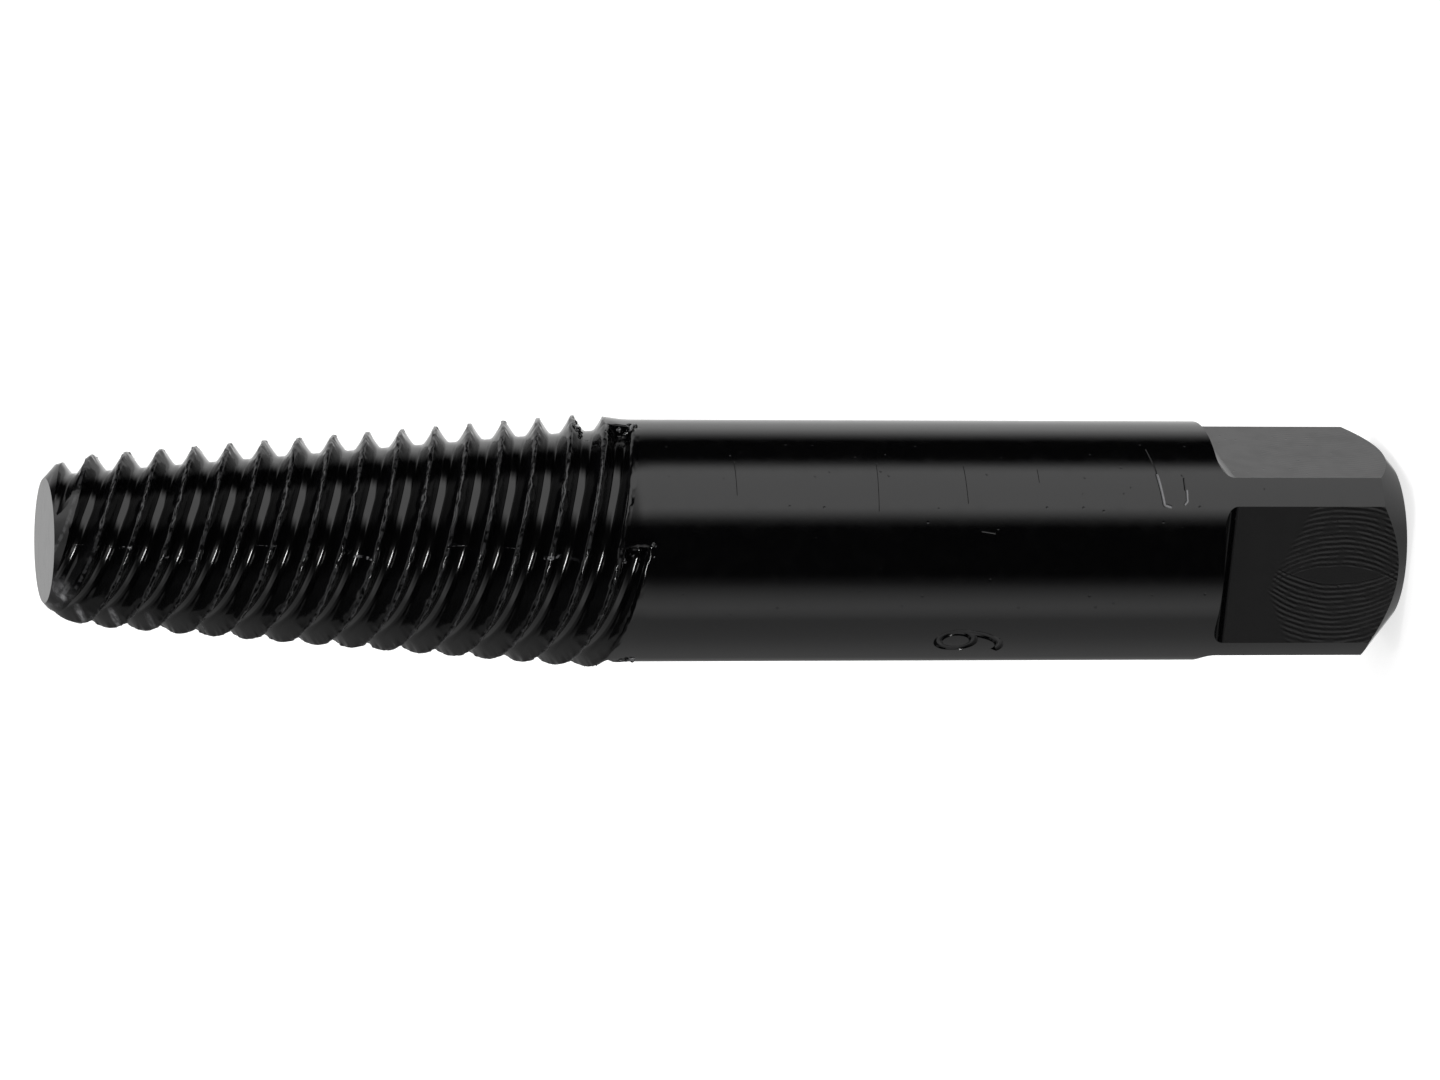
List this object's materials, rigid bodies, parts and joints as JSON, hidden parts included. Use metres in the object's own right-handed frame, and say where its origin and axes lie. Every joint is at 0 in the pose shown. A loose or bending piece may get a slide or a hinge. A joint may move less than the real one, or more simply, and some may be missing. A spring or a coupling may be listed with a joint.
{
  "type": "screw extractor",
  "caption": "One-piece steel screw extractor: a tapered left-hand spiral bites into a drilled-out screw, a round shank and a square end take the wrench.",
  "frame": {"origin": "centre of the end face of the driving square, on which the tool stands", "axes": "+Z along the tool's axis from the square to the tip; the four flats of the square face +X, -X, +Y and -Y"},
  "size_m": [0.0166, 0.0167, 0.0911],
  "materials": {
    "blackened_steel": "hardened steel, blackened and oiled to a smooth dark gloss, with milled flats on the square"
  },
  "bodies": {
    "root": {"screw_extractor": "blackened_steel"}
  },
  "joints": []
}
